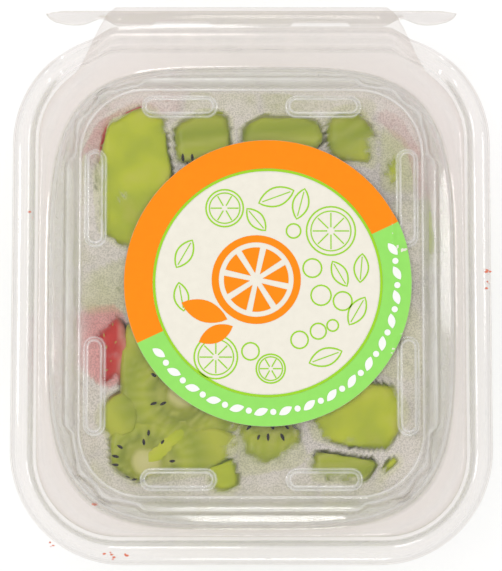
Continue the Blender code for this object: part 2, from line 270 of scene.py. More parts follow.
def fog_material():
    """Fine drops inside the lid: a pale stipple, thin where fruit touches the lid, tinted green and pink as
    painted light from the fruit close beneath.
    """
    n = Nodes("condensation")
    fog = n.add("Attribute", attribute_name="fog").outputs["Fac"]
    fine = n.ramp(n.noise(2700.0, 1.0), [(0.4, (0, 0, 0)), (0.58, (1, 1, 1))])
    broad = n.ramp(n.noise(330.0, 2.0), [(0.3, (0, 0, 0)), (0.7, (1, 1, 1))])
    stipple = n.math("ADD", n.math("MULTIPLY", fine, 0.3), n.math("MULTIPLY", broad, 0.14))
    cover = n.math("MULTIPLY", fog, n.math("ADD", stipple, 0.64), clamp=True)
    see_through = n.add("BsdfTransparent", {"Color": (1, 1, 1, 1)})
    # Painted light: green and pink shares tint the drops where fruit lies close beneath them.
    green = n.add("Attribute", attribute_name="green").outputs["Fac"]
    berry_glow = n.add("Attribute", attribute_name="berry_glow").outputs["Fac"]
    tint = n.mix(berry_glow, n.mix(green, rgb(253, 251, 248), rgb(238, 240, 214)), rgb(246, 186, 184))
    white = n.add("BsdfDiffuse", links={"Color": tint})
    through = n.add("BsdfTranslucent", links={"Color": tint})
    drops = n.add("MixShader", {0: 0.12}, {1: white.outputs[0], 2: through.outputs[0]})
    both = n.add("MixShader", links={0: cover, 1: see_through.outputs[0], 2: drops.outputs[0]})
    return n.finish(both.outputs[0])


def drop_material():
    n = Nodes("water_drop")
    see_through = n.add("BsdfTransparent", {"Color": (*rgb(247, 248, 244), 1)})
    gloss = n.add("BsdfGlossy", {"Roughness": 0.04})
    fresnel = n.add("Fresnel", {"IOR": 1.4})
    both = n.add("MixShader", links={0: fresnel.outputs[0], 1: see_through.outputs[0], 2: gloss.outputs[0]})
    return n.finish(both.outputs[0])


def moist(n, colour, bump_scale=260.0, bump=0.06, gloss=(0.22, 0.5), scatter=None):
    """The finish that all cut fruit shares: soft uneven gloss, faint bump, a little scatter."""
    patches = n.noise(120.0, 2.0)
    rough = n.add("MapRange", {"To Min": gloss[0], "To Max": gloss[1]}, {"Value": patches})
    height = n.add("Bump", {"Strength": bump, "Distance": 0.001}, {"Height": n.noise(bump_scale, 2.0)})
    shader = n.add("BsdfPrincipled", {"Subsurface Weight": 0.15, "Subsurface Scale": 0.002, "IOR": 1.4},
                   {"Base Color": colour, "Roughness": rough.outputs[0], "Normal": height.outputs[0]})
    if scatter:
        shader.inputs["Subsurface Radius"].default_value = scatter
    return n.finish(shader.outputs[0])


def melon_material():
    n = Nodes("honeydew_flesh")
    rind = n.add("Attribute", attribute_name="rind").outputs["Fac"]
    cloud = n.ramp(n.noise(70.0, 3.0), [(0.32, rgb(214, 222, 70)), (0.46, rgb(204, 220, 12)),
                                       (0.6, rgb(186, 206, 4)), (0.74, rgb(196, 206, 60))])
    fibre = n.noise(480.0, 2.0)
    flesh = n.mix(n.math("MULTIPLY", fibre, 0.14), cloud, rgb(220, 226, 110))
    return moist(n, n.mix(rind, flesh, rgb(126, 152, 30)), scatter=(1.0, 1.0, 0.4))


def kiwi_material():
    """Colour from how far a point is from its fruit's pale core, held in the point attribute."""
    n = Nodes("kiwi_flesh")
    away = n.add("Attribute", attribute_name="away").outputs["Fac"]
    streak = n.add("Attribute", attribute_name="streak").outputs["Fac"]
    wobble = n.math("MULTIPLY", n.math("SUBTRACT", n.noise(210.0, 2.0), 0.5), 0.10)
    place = n.math("ADD", away, wobble)
    base = n.ramp(place, [(0.0, rgb(226, 226, 160)), (0.15, rgb(216, 218, 138)), (0.22, rgb(160, 172, 36)),
                          (0.36, rgb(142, 160, 24)), (0.52, rgb(186, 202, 44)), (0.72, rgb(160, 180, 28)),
                          (1.0, rgb(200, 212, 60))])
    reach_of_rays = [(0.16, (0, 0, 0)), (0.3, (1, 1, 1)), (0.75, (0.5, 0.5, 0.5)), (1.0, (0, 0, 0))]
    rays = n.math("MULTIPLY", streak, n.ramp(place, reach_of_rays))
    return moist(n, n.mix(n.math("MULTIPLY", rays, 0.72), base, rgb(206, 214, 104)), 420.0, 0.08,
                 (0.2, 0.45), (0.7, 1.0, 0.2))


def strawberry_material():
    n = Nodes("strawberry_flesh")
    skin = n.add("Attribute", attribute_name="skin").outputs["Fac"]
    core = n.ramp(n.noise(160.0, 3.0), [(0.3, rgb(214, 92, 70)), (0.7, rgb(236, 168, 150))])
    cut = n.mix(n.add("Attribute", attribute_name="edge").outputs["Fac"], core, rgb(206, 62, 42))
    red = n.ramp(n.noise(90.0, 2.0), [(0.3, rgb(224, 34, 12)), (0.7, rgb(204, 14, 8))])
    return moist(n, n.mix(skin, cut, red), 300.0, 0.08, (0.2, 0.45), (1.0, 0.3, 0.2))


def plain_material(name, colour, roughness=0.45, spread=0.06, scale=500.0, ior=1.3):
    """A satin surface whose colour changes a little from place to place."""
    n = Nodes(name)
    lighter = [min(1.0, c * (1 + spread)) for c in colour]
    darker = [c * (1 - spread) for c in colour]
    tone = n.ramp(n.noise(scale, 3.0), [(0.3, darker), (0.7, lighter)])
    height = n.add("Bump", {"Strength": 0.04, "Distance": 0.0004}, {"Height": n.noise(1500.0, 2.0)})
    shader = n.add("BsdfPrincipled", {"Roughness": roughness, "IOR": ior},
                   {"Base Color": tone, "Normal": height.outputs[0]})
    return n.finish(shader.outputs[0])


# ---- the pack's shells ------------------------------------------------------------------------
def skin_mesh(rings):
    """Vertices and faces of a skin through rings of points."""
    verts, faces = [], []
    count = len(rings[0])
    for ring in rings:
        verts += ring
    for k in range(len(rings) - 1):
        a, b = k * count, (k + 1) * count
        for i in range(count):
            j = (i + 1) % count
            faces.append((a + i, a + j, b + j, b + i))
    return verts, faces


def lay_apron(points, target):
    target_y, target_z = target[0] * MM, target[1] * MM
    for p in points:
        if p[1] <= 0:
            continue
        low = 1 - smooth(abs(p[0]), RIM_LOW_HALF, RIM_FULL_HALF)
        out = 1 - smooth(abs(p[0]), FLAP_HALF, FLAP_HALF + 7 * MM)
        flat_z = min(p[2], SEAT_Z - 0.8 * MM)
        p[2] += (flat_z - p[2]) * low
        p[1] += (target_y - p[1]) * out
        p[2] += (target_z - p[2]) * out


def fill_disc(verts, faces, ring_start, count, levels, height):
    """Closes a ring with shrunken copies of itself. height gives each new point its z."""
    last = ring_start
    for level in range(1, levels):
        share = 1 - level / levels
        start = len(verts)
        for i in range(count):
            x, y = verts[ring_start + i][0] * share, verts[ring_start + i][1] * share
            verts.append([x, y, height(x, y)])
        for i in range(count):
            j = (i + 1) % count
            faces.append((last + i, last + j, start + j, start + i))
        last = start
    centre = len(verts)
    verts.append([0, 0, height(0, 0)])
    for i in range(count):
        faces.append((last + i, last + (i + 1) % count, centre))


def make_sheet_object(name, verts, faces, crease_highlights, upwards, body, material, replaced):
    """Turns a skin into a thin sheet that grows behind its normals. The per-point list holds each point's
    painted highlight, white where the sheet bends.
    """
    mesh = mesh_from(name, verts, faces)
    attribute = mesh.attributes.new("painted_crease_highlight", "FLOAT", "POINT")
    attribute.data.foreach_set("value", crease_highlights)
    bm = bmesh.new()
    bm.from_mesh(mesh)
    bmesh.ops.recalc_face_normals(bm, faces=bm.faces)
    middle = min(bm.faces, key=lambda f: f.calc_center_median().xy.length)
    if (middle.normal.z > 0) != upwards:
        bmesh.ops.reverse_faces(bm, faces=bm.faces)
    bm.to_mesh(mesh)
    bm.free()
    obj = add_object(name, mesh, body, material, replaced)
    sheet = obj.modifiers.new("Sheet", "SOLIDIFY")
    sheet.thickness = SHEET
    sheet.offset = -1.0
    sheet.use_even_offset = True
    evaluated(obj)
    obj.data.shade_smooth()
    return obj


def make_tray(angles, material):
    rings = []
    for i, ring in enumerate(TRAY_RINGS):
        points = ring_points(ring, angles)
        if i >= TRAY_FIRST_APRON:
            lay_apron(points, TRAY_APRON[i - TRAY_FIRST_APRON])
        rings.append(points)
    verts, faces = skin_mesh(rings)
    # Each point's share of painted highlight, by ring.
    crease_highlights = [TRAY_CREASE_HIGHLIGHTS.get(i, 0.0) for i in range(len(rings)) for _ in angles]
    foot = TRAY_RINGS[0][4] * MM
    fill_disc(verts, faces, 0, len(angles), 4, lambda x, y: foot)
    crease_highlights += [0.0] * (len(verts) - len(crease_highlights))
    return make_sheet_object("clear_tray", verts, faces, crease_highlights, False,
                             PACK, material, ("tray",))


def step_out(points):
    for p in points:
        on_side = 1 - smooth(abs(p[1]), BAR_HALF_SPAN[0] - BAR_END, BAR_HALF_SPAN[0])
        on_end = 1 - smooth(abs(p[0]), BAR_HALF_SPAN[1] - BAR_END, BAR_HALF_SPAN[1])
        bump = 0.0
        for bump_x, bump_y in BUMP_PLACES:
            away = math.hypot(p[0] - bump_x * MM, p[1] - bump_y * MM)
            bump = max(bump, BUMP_DEPTH * (1 - smooth(away, 0.8 * MM, 4.0 * MM)))
        if abs(p[0]) * PANEL_HALF[1] > abs(p[1]) * PANEL_HALF[0]:
            p[0] += math.copysign(BAR_DEPTH[0] * on_side, p[0])
        else:
            p[1] += math.copysign(BAR_DEPTH[1] * on_end, p[1])
        if bump:
            out = bump / math.hypot(p[0], p[1])
            p[0] *= 1 + out
            p[1] *= 1 + out


def flare_to_hinge(points):
    for p in points:
        if p[1] > 0:
            share = 1 - smooth(abs(p[0]), FLAP_HALF, FLAP_FLARE)
            p[1] += (HINGE_Y - p[1]) * share


def rib_places():
    places = []
    for sign_x in (-1, 1):
        for sign_y in (-1, 1):
            places.append((sign_x * LONG_RIB_AT[0], sign_y * LONG_RIB_AT[1], LONG_RIB, True))
            places.append((sign_x * SHORT_RIB_AT[0], sign_y * SHORT_RIB_AT[1], SHORT_RIB, False))
    return places


def rib_height(x, y, grow=0.0):
    tallest = 0.0
    for rib_x, rib_y, length, along_y in rib_places():
        u, v = (y - rib_y, x - rib_x) if along_y else (x - rib_x, y - rib_y)
        away = math.hypot(max(abs(u) - length / 2 + RIB_HALF_WIDTH, 0.0), v)
        tallest = max(tallest, RIB_RISE * (1 - smooth(away, 1.6 * MM + grow / 2, RIB_HALF_WIDTH + grow)))
    return tallest


def rib_outline(place, half_width, z, steps=14):
    """A rib's outline at one height: straight sides and round ends."""
    x, y, length, along_y = place
    straight = length / 2 - RIB_HALF_WIDTH
    points = []
    for end in (1, -1):
        start = -math.pi / 2 if end == 1 else math.pi / 2
        for i in range(steps + 1):
            turn = start + math.pi * i / steps
            u = end * straight + half_width * math.cos(turn)
            v = half_width * math.sin(turn)
            points.append((x - v, y + u, z) if along_y else (x + u, y + v, z))
    return points


def loop_edges(bm, verts):
    return [bm.edges.get((a, b)) or bm.edges.new((a, b)) for a, b in zip(verts, verts[1:] + verts[:1])]


def make_lid(angles, material):
    rings = []
    for i, ring in enumerate(LID_RINGS):
        points = ring_points(ring, angles)
        if i == 0:
            flare_to_hinge(points)
        if i in BAR_RINGS:
            step_out(points)
        rings.append(points)
    halfway = [[(a[0] + b[0]) / 2, (a[1] + b[1]) / 2, a[2]] for a, b in zip(rings[0], rings[1])]
    rings.insert(1, halfway)
    verts, faces = skin_mesh(rings)
    # Each point's share of painted highlight, by ring; the ribs add theirs by level.
    crease_highlights = [LID_CREASE_HIGHLIGHTS.get(i, 0.0) for i in range(len(rings)) for _ in angles]
    bm = bmesh.new()
    made = [bm.verts.new(v) for v in verts]
    for face in faces:
        bm.faces.new([made[i] for i in face])
    edges = loop_edges(bm, made[-len(angles):])
    for place in rib_places():
        last = None
        for level, (half_width, rise) in enumerate(RIB_PROFILE):
            ring = [bm.verts.new(p) for p in rib_outline(place, half_width * MM, PANEL_Z + rise * MM)]
            crease_highlights += [RIB_CREASE_HIGHLIGHTS.get(level, 0.0)] * len(ring)
            if last is None:
                edges += loop_edges(bm, ring)
            else:
                for i in range(len(ring)):
                    j = (i + 1) % len(ring)
                    bm.faces.new((last[i], last[j], ring[j], ring[i]))
            last = ring
        bm.faces.new(last)
    bmesh.ops.triangle_fill(bm, use_beauty=True, edges=edges, normal=(0, 0, 1))
    bm.normal_update()
    mesh = bpy.data.meshes.new("lid_skin")
    bm.to_mesh(mesh)
    bm.free()
    verts = [v.co[:] for v in mesh.vertices]
    faces = [tuple(f.vertices) for f in mesh.polygons]
    return make_sheet_object("clear_lid", verts, faces, crease_highlights, True, LID, material, ("lid",))


# ---- label ------------------------------------------------------------------------------------
RING_IN = 0.80
ORANGE_FROM, ORANGE_TO = 25, 205


def label_z(x, y, lift):
    wrinkle = 0.25 * MM * math.exp(-(((x - 38.5 * MM) / (1.6 * MM)) ** 2 + ((y - 13 * MM) / (3.5 * MM)) ** 2))
    return PANEL_Z + 0.25 * MM + lift + rib_height(x, y, 1.4 * MM) + wrinkle


def add_field(verts, faces, outline, lift):
    """A flat closed shape on the label from a boundary round its middle point, in label radii."""
    start = len(verts)
    cx = sum(p[0] for p in outline) / len(outline)
    cy = sum(p[1] for p in outline) / len(outline)
    for x, y in [(cx, cy)] + outline:
        wx, wy = LABEL_AT[0] + x * LABEL_RADIUS, LABEL_AT[1] + y * LABEL_RADIUS
        verts.append((wx, wy, label_z(wx, wy, lift)))
    for i in range(len(outline)):
        faces.append((start, start + 1 + i, start + 1 + (i + 1) % len(outline)))


def add_band(verts, faces, centre_line, width, lift, closed=False):
    """A thin stripe of even width along a line, in label radii."""
    points = np.array(centre_line)
    count = len(points)
    start = len(verts)
    for i in range(count):
        before = points[i - 1] if (i or closed) else points[i]
        after = points[(i + 1) % count] if (i < count - 1 or closed) else points[i]
        way = after - before
        way = way / (np.linalg.norm(way) + 1e-12)
        for side in (-0.5, 0.5):
            x = (points[i][0] - way[1] * side * width) * LABEL_RADIUS + LABEL_AT[0]
            y = (points[i][1] + way[0] * side * width) * LABEL_RADIUS + LABEL_AT[1]
            verts.append((x, y, label_z(x, y, lift)))
    for i in range(count if closed else count - 1):
        a, b = start + 2 * i, start + 2 * ((i + 1) % count)
        faces.append((a, b, b + 1, a + 1))


def arc(cx, cy, r, start, end, steps):
    return [(cx + r * math.cos(math.radians(start + (end - start) * i / steps)),
             cy + r * math.sin(math.radians(start + (end - start) * i / steps))) for i in range(steps + 1)]


def sector(r_in, r_out, start, end, lift, verts, faces, rows=9, steps=200):
    first = len(verts)
    for k in range(rows + 1):
        r = r_in + (r_out - r_in) * k / rows
        for x, y in arc(0, 0, r, start, end, steps):
            wx, wy = LABEL_AT[0] + x * LABEL_RADIUS, LABEL_AT[1] + y * LABEL_RADIUS
            verts.append((wx, wy, label_z(wx, wy, lift)))
    for k in range(rows):
        for i in range(steps):
            a = first + k * (steps + 1) + i
            faces.append((a, a + 1, a + steps + 2, a + steps + 1))


def leaf(cx, cy, length, width, turn, steps=10):
    """A pointed leaf outline."""
    points = []
    for side in (1, -1):
        for i in range(steps):
            t = i / steps if side == 1 else 1 - i / steps
            u, v = (t - 0.5) * length, side * width * math.sin(math.pi * t) ** 0.8 * 0.5
            c, s = math.cos(math.radians(turn)), math.sin(math.radians(turn))
            points.append((cx + u * c - v * s, cy + u * s + v * c))
    return points


def make_label_piece(name, build, material, replaced=()):
    verts, faces = [], []
    build(verts, faces)
    mesh = mesh_from(name, verts, faces)
    bm = bmesh.new()
    bm.from_mesh(mesh)
    for face in bm.faces:
        if face.normal.z < 0:
            face.normal_flip()
    bm.to_mesh(mesh)
    bm.free()
    return add_object(name, mesh, LID, material, replaced)


def build_backing(verts, faces):
    """The sticker's body: a thin disc with an edge."""
    rows, steps = 40, 200
    for lift in (-0.14 * MM, 0.0):
        sector(0.0, 1.0, 0, 360, lift, verts, faces, rows, steps)
    rim, layer = rows * (steps + 1), (rows + 1) * (steps + 1)
    for i in range(steps):
        faces.append((rim + i, rim + i + 1, rim + i + 1 + layer, rim + i + layer))


def build_orange(verts, faces):
    sector(RING_IN, 0.999, ORANGE_FROM, ORANGE_TO, 0.07 * MM, verts, faces)
    # A plain round fruit slice: a rim and eight segments.
    cx, cy, r = -0.08, 0.02, 0.285
    add_band(verts, faces, arc(cx, cy, r, 0, 360, 60)[:-1], 0.05, 0.1 * MM, True)
    for k in range(8):
        a = 45 * k + 10
        outline = [(cx + 0.045 * math.cos(math.radians(a)), cy + 0.045 * math.sin(math.radians(a)))]
        outline += arc(cx, cy, 0.225, a - 17, a + 17, 8)
        add_field(verts, faces, outline, 0.1 * MM)
    add_field(verts, faces, leaf(-0.44, -0.20, 0.34, 0.15, 160), 0.1 * MM)
    add_field(verts, faces, leaf(-0.36, -0.36, 0.26, 0.12, 205), 0.1 * MM)


def build_green(verts, faces):
    sector(RING_IN, 0.999, ORANGE_TO, ORANGE_FROM + 360, 0.07 * MM, verts, faces)


def build_cream(verts, faces):
    sector(0.0, 0.775, 0, 360, 0.05 * MM, verts, faces, 14, 120)


def build_line_art(verts, faces):
    """Generic fruit outlines: round slices, berries and leaves."""
    lift, width = 0.09 * MM, 0.011
    add_band(verts, faces, arc(0, 0, 0.79, 0, 360, 160)[:-1], 0.018, lift, True)
    for cx, cy, r, spokes in ((0.44, 0.36, 0.17, 8), (-0.30, 0.52, 0.13, 6), (-0.36, -0.52, 0.15, 8),
                              (0.02, -0.60, 0.10, 6)):
        add_band(verts, faces, arc(cx, cy, r, 0, 360, 36)[:-1], width, lift, True)
        add_band(verts, faces, arc(cx, cy, r * 0.82, 0, 360, 36)[:-1], width * 0.8, lift, True)
        for k in range(spokes):
            a = math.radians(360 * k / spokes)
            line = [(cx + r * s * math.cos(a), cy + r * s * math.sin(a)) for s in (0.15, 0.75)]
            add_band(verts, faces, line, width * 0.8, lift)
    for cx, cy, length, turn in ((0.06, 0.60, 0.26, 20), (0.23, 0.55, 0.22, 75), (0.65, 0.10, 0.20, 85),
                                 (0.50, 0.06, 0.20, 120), (-0.58, 0.20, 0.22, 60), (0.62, -0.20, 0.22, 60),
                                 (-0.60, -0.10, 0.2, 100), (0.40, -0.52, 0.24, 20), (-0.08, 0.44, 0.2, 130)):
        outline = leaf(cx, cy, length, length * 0.5, turn)
        add_band(verts, faces, outline, width, lift, True)
        c, s = math.cos(math.radians(turn)) * length * 0.4, math.sin(math.radians(turn)) * length * 0.4
        add_band(verts, faces, [(cx - c, cy - s), (cx + c, cy + s)], width * 0.7, lift)
    for cx, cy, r in ((0.31, 0.10, 0.065), (0.37, -0.09, 0.07), (0.52, -0.13, 0.065), (0.22, -0.40, 0.06),
                      (0.35, -0.34, 0.055), (-0.12, -0.48, 0.06), (0.18, 0.36, 0.05), (0.45, -0.30, 0.04)):
        add_band(verts, faces, arc(cx, cy, r, 0, 360, 20)[:-1], width, lift, True)


def build_white_marks(verts, faces):
    """Small white leaves and dots along the green band."""
    middle = (RING_IN + 1.0) / 2
    angle, k = 213, 0
    while angle < 377:
        x, y = middle * math.cos(math.radians(angle)), middle * math.sin(math.radians(angle))
        if k % 2:
            add_field(verts, faces, arc(x, y, 0.022, 0, 330, 11), 0.14 * MM)
        else:
            add_field(verts, faces, leaf(x, y, 0.105, 0.052, angle + 90 + 24), 0.14 * MM)
        angle += 5.4
        k += 1


def make_label():
    cream = plain_material("label_cream", rgb(240, 235, 221), 0.5, 0.02)
    make_label_piece("label_sticker", build_backing, cream, ("label",))
    make_label_piece("label_cream_disc", build_cream, cream)
    orange = plain_material("label_orange_ink", rgb(255, 142, 0), 0.42, 0.02)
    make_label_piece("label_orange", build_orange, orange)
    green = plain_material("label_green_ink", rgb(152, 228, 104), 0.42, 0.02)
    make_label_piece("label_green", build_green, green)
    lines = plain_material("label_line_ink", rgb(158, 216, 40), 0.5, 0.02)
    make_label_piece("label_lines", build_line_art, lines)
    white = plain_material("label_white", rgb(250, 250, 246), 0.5, 0.01)
    make_label_piece("label_marks", build_white_marks, white)


# ---- tear strip -------------------------------------------------------------------------------
STRIP_TOP_Y, STRIP_FOOT_Y, STRIP_TOP_Z, STRIP_DEPTH = 77.8 * MM, 75.7 * MM, 43.7 * MM, 8.5 * MM
STRIP_STATIONS = [(0, 8.5), (6, 8.5), (10.5, 8.5), (11.6, 6.6), (26.2, 6.6), (27.4, 8.5), (36, 8.5),
                  (37, 8.1), (38, 7.2), (39, 5.8), (40, 4.6), (41.5, 4.2), (43, 5.4), (44.4, 6.6),
                  (45.5, 7.4), (47, 8.0), (48.5, 8.1), (50, 7.9), (51.2, 7.5), (53.6, 6.2),
                  (55.1, 4.4), (55.8, 2.6)]


def make_tear_strip(material):
    stations = [(-x, d) for x, d in reversed(STRIP_STATIONS[1:])] + STRIP_STATIONS
    verts, faces = [], []
    rows = 6
    for x, depth in stations:
        top = 1.4 * smooth(abs(x), 51.5, 55.8)
        for k in range(rows + 1):
            d = (top + (depth - top) * k / rows) * MM
            y = STRIP_TOP_Y + (STRIP_FOOT_Y - STRIP_TOP_Y) * d / STRIP_DEPTH
            y += 0.18 * MM * math.sin(math.pi * k / rows)
            verts.append((x * MM, y, STRIP_TOP_Z - d))
    for i in range(len(stations) - 1):
        for k in range(rows):
            a = i * (rows + 1) + k
            faces.append((a, a + 1, a + rows + 2, a + rows + 1))
    mesh = mesh_from("clear_tear_strip", verts, faces)
    obj = add_object("clear_tear_strip", mesh, PACK, material, ("tear_strip",))
    sheet = obj.modifiers.new("Sheet", "SOLIDIFY")
    sheet.thickness = SHEET
    sheet.offset = 1.0
    evaluated(obj)
    return obj


# ---- fruit ------------------------------------------------------------------------------------
TOP_LIMIT = PANEL_UNDER - 0.25 * MM
LAYER_SPLIT = 38.0 * MM
LOWER_PIECES = 44
DROP_COUNT = 1500

# The top layer, each piece: kind, height of its top in mm, tilt of its top, outline in mm.
MELON, KIWI, BERRY = "melon", "kiwi", "strawberry"
TOP_PIECES = [
    (MELON, 55.9, (0, 0), [(-40, 15), (-41.5, 32), (-38, 47), (-28, 50.5), (-21.5, 46), (-20.6, 30),
                           (-18, 14), (-30, 10)]),
    (MELON, 54.6, (-0.1, 0), [(-46, 16), (-46, 42), (-43, 42), (-43.4, 30), (-41.5, 16)]),
    (KIWI, 55.8, (0.02, 0), [(-20, 34), (-20.5, 44), (-14, 48.5), (-6, 47), (-4.5, 34)]),
    (KIWI, 55.9, (0, 0.02), [(-3, 34), (-3, 44), (4, 47), (18, 46.5), (19, 40.5), (12, 33)]),
    (KIWI, 54.6, (0.05, 0.03), [(20, 35), (20, 48.5), (27, 49.5), (33, 44), (33, 33)]),
    (MELON, 53.6, (-0.08, 0.04), [(34.5, 26), (34.5, 45), (41, 40), (44, 26)]),
    (MELON, 49.4, (0, 0), [(38, 8), (37, 26), (48.2, 26.5), (49.2, 12), (47, 7)]),
    (MELON, 52.6, (0, 0), [(-45, -6), (-45, 13), (-31, 9.5), (-22, 13), (-22, -5)]),
    (BERRY, 54.9, (-0.3, 0.28), [(-46, -20), (-46.5, -4), (-35, -4), (-31.8, -14), (-33, -23), (-38, -25)]),
    (KIWI, 56.3, (0, 0), [(-34.6, -25), (-33, -8), (-16, -4), (-2.5, -12), (-2.5, -37), (-14, -38.5),
                          (-30, -38), (-34.6, -34)]),
    (KIWI, 56.3, (0, 0.2), [(-28, -32), (-14, -33.5), (-3, -37), (-3, -42), (-12, -48), (-31, -50.5),
                            (-37, -46.5), (-37, -36)]),
    (MELON, 56.0, (0, 0), [(-12, -46), (-11, -54), (-3.2, -54), (-3.6, -42)]),
    (KIWI, 54.2, (0, 0.02), [(-3.6, -48), (-3.4, -32), (12, -30), (14, -45)]),
    (MELON, 55.9, (0, 0), [(15.5, -39), (14.5, -29), (24, -22), (38, -24), (41, -32), (36, -41.5)]),
    (KIWI, 55.5, (0, 0), [(15.5, -49), (15.5, -41), (22, -42), (34.5, -44), (30, -50)]),
    (MELON, 55.6, (0.02, -0.02), [(31, -51.5), (36, -43.5), (42, -42), (41, -50)]),
    (MELON, 53.0, (0.03, 0), [(26, -20), (25, -4), (46, -4), (46, -20), (41, -23)]),
    (KIWI, 52.6, (0, 0.04), [(26, -2), (24, 16), (36.5, 23), (37, 7), (46, 4), (46, -2)]),
    (MELON, 53.2, (0, 0), [(-20, 14), (-20, 32), (-2, 32), (2, 18), (-4, 10)]),
    (BERRY, 53.0, (0, 0), [(4, 17), (0, 31), (12, 31), (23, 33), (24, 18), (14, 12)]),
    (KIWI, 53.2, (0, 0), [(-20, -5), (-20, 11), (-5, 8), (2, -4), (-6, -13), (-14, -5)]),
    (MELON, 53.2, (0, 0), [(4, -8), (3, 14), (14, 10), (23, 14), (24, -8), (14, -16)]),
    (KIWI, 56.3, (0, 0), [(-41, -33.5), (-39, -28.5), (-34, -25), (-29, -28), (-30, -37), (-37, -39.5)]),
    (MELON, 57.5, (0, 0), [(-29, -46.5), (-28.5, -43), (-16, -31.5), (-12.5, -32), (-14.5, -36), (-26, -47)]),
    (MELON, 52.8, (0, 0), [(-3, -28), (-3, -14), (4, -10), (13, -18), (23, -12), (23, -21), (13, -28)]),
]
STRIPE_PIECE, SIDE_PIECE = 23, 6
SEEDS_A_PIECE = 46
FEW_SEEDS = {9: 12, 22: 0}
# Where each kiwi of the top layer has its pale core: a point in mm and the core's direction.
KIWI_CORES = {
    2: ((-12, 30, 50), (1, 0.1, 0.0)), 3: ((8, 31, 50), (1, 0.1, 0.1)), 4: ((27, 54, 46), (1, 0.4, 0)),
    9: ((-18.6, -27.0, 48), (0.05, 0, 1)), 10: ((-27.5, -45, 49), (0, 0.05, 1)),
    12: ((4, -31, 50), (0.1, 0.1, 1)), 14: ((24, -36, 48), (1, 0.1, 0)),
    17: ((30, 22, 50), (0.4, 1, 0)), 20: ((-4, -2, 47), (0, 0, 1)), 22: ((-18.6, -27.0, 48), (0.05, 0, 1)),
}


def domain_planes():
    """The space that fruit may fill inside the pack, as planes: point and outward normal."""
    planes = [((0, 0, 1.4), (0, 0, -1)), ((0, 0, TOP_LIMIT / MM), (0, 0, 1))]
    low, high = (44.6, 53.0, 17, 0.0, 2.4), (49.4, 57.3, 21, 0.5, 31.0)
    shoulder, top = (46.4, 54.6, 20, 0.5, 45.0), (41.8, 50.6, 18, 0.0, 55.6)
    count = 36
    for a, b in ((low, high), (high, shoulder), (shoulder, top)):
        for k in range(count):
            angle = TAU * (k + 0.5) / count
            step = TAU / count
            corners = []
            for ring in (a, b):
                for turn in (angle - step / 2, angle + step / 2):
                    r = reach(turn, *ring[:4])
                    corners.append(Vector((r * math.cos(turn), r * math.sin(turn), ring[4])))
            normal = (corners[1] - corners[0]).cross(corners[2] - corners[0]).normalized()
            if normal.dot(Vector((math.cos(angle), math.sin(angle), 0))) < 0:
                normal = -normal
            planes.append((tuple(sum(corners, Vector()) / 4), tuple(normal)))
    return planes


def box_bmesh(low, high):
    bm = bmesh.new()
    bmesh.ops.create_cube(bm, size=1.0)
    for v in bm.verts:
        v.co = Vector([low[i] if v.co[i] < 0 else high[i] for i in range(3)])
    return bm


def cut(bm, point, normal):
    """Cuts off what lies beyond a plane and closes the cut."""
    geometry = bm.verts[:] + bm.edges[:] + bm.faces[:]
    made = bmesh.ops.bisect_plane(bm, geom=geometry, plane_co=point, plane_no=normal, clear_outer=True)
    edges = [g for g in made["geom_cut"] if isinstance(g, bmesh.types.BMEdge)]
    if edges:
        bmesh.ops.contextual_create(bm, geom=edges)


def lower_cells(planes):
    """Centres and kinds of the pieces under the top layer, spread evenly by a seeded relaxation."""
    inside_rng = np.random.default_rng(7)
    points = inside_rng.uniform((-51, -59, 2), (51, 59, LAYER_SPLIT / MM - 1), (26000, 3))
    keep = np.ones(len(points), bool)
    for point, normal in planes:
        keep &= (points - np.array(point)) @ np.array(normal) < 0
    points = points[keep]
    centres = points[inside_rng.choice(len(points), LOWER_PIECES, replace=False)]
    for _ in range(7):
        nearest = np.argmin(((points[:, None] - centres[None]) ** 2).sum(2), axis=1)
        for k in range(len(centres)):
            mine = points[nearest == k]
            if len(mine):
                centres[k] = centres[k] * 0.35 + mine.mean(0) * 0.65
    kinds = []
    for k in range(len(centres)):
        kinds.append((MELON, KIWI, MELON, BERRY, KIWI, MELON, KIWI)[k % 7])
    return centres, kinds


def round_off(bm, name, voxel, rounds):
    """Rounds a hard-edged piece and gives it the small unevenness of cut fruit. Returns mm arrays."""
    mesh = bpy.data.meshes.new(name)
    bmesh.ops.triangulate(bm, faces=bm.faces)
    bm.to_mesh(mesh)
    bm.free()
    obj = bpy.data.objects.new(name, mesh)
    bpy.context.collection.objects.link(obj)
    remesh = obj.modifiers.new("Remesh", "REMESH")
    remesh.mode = "VOXEL"
    remesh.voxel_size = voxel
    relax = obj.modifiers.new("Round", "SMOOTH")
    relax.factor = 0.5
    relax.iterations = rounds
    evaluated(obj)
    mesh = obj.data
    verts = np.array([v.co[:] for v in mesh.vertices])
    normals = np.array([v.normal[:] for v in mesh.vertices])
    faces = [tuple(f.vertices) for f in mesh.polygons]
    bpy.data.objects.remove(obj)
    return verts, normals, faces


def uneven(verts, normals, seed, broad, fine):
    """Moves points along their normals by smooth noise."""
    moved = []
    offset = Vector((seed * 3.7, seed * 1.3, seed * 2.1))
    for v, nrm in zip(verts, normals):
        p = Vector(v)
        push = noise.noise(p / 9.0 + offset) * broad + noise.noise(p / 2.6 + offset) * fine
        moved.append(v + nrm * push)
    return np.array(moved)


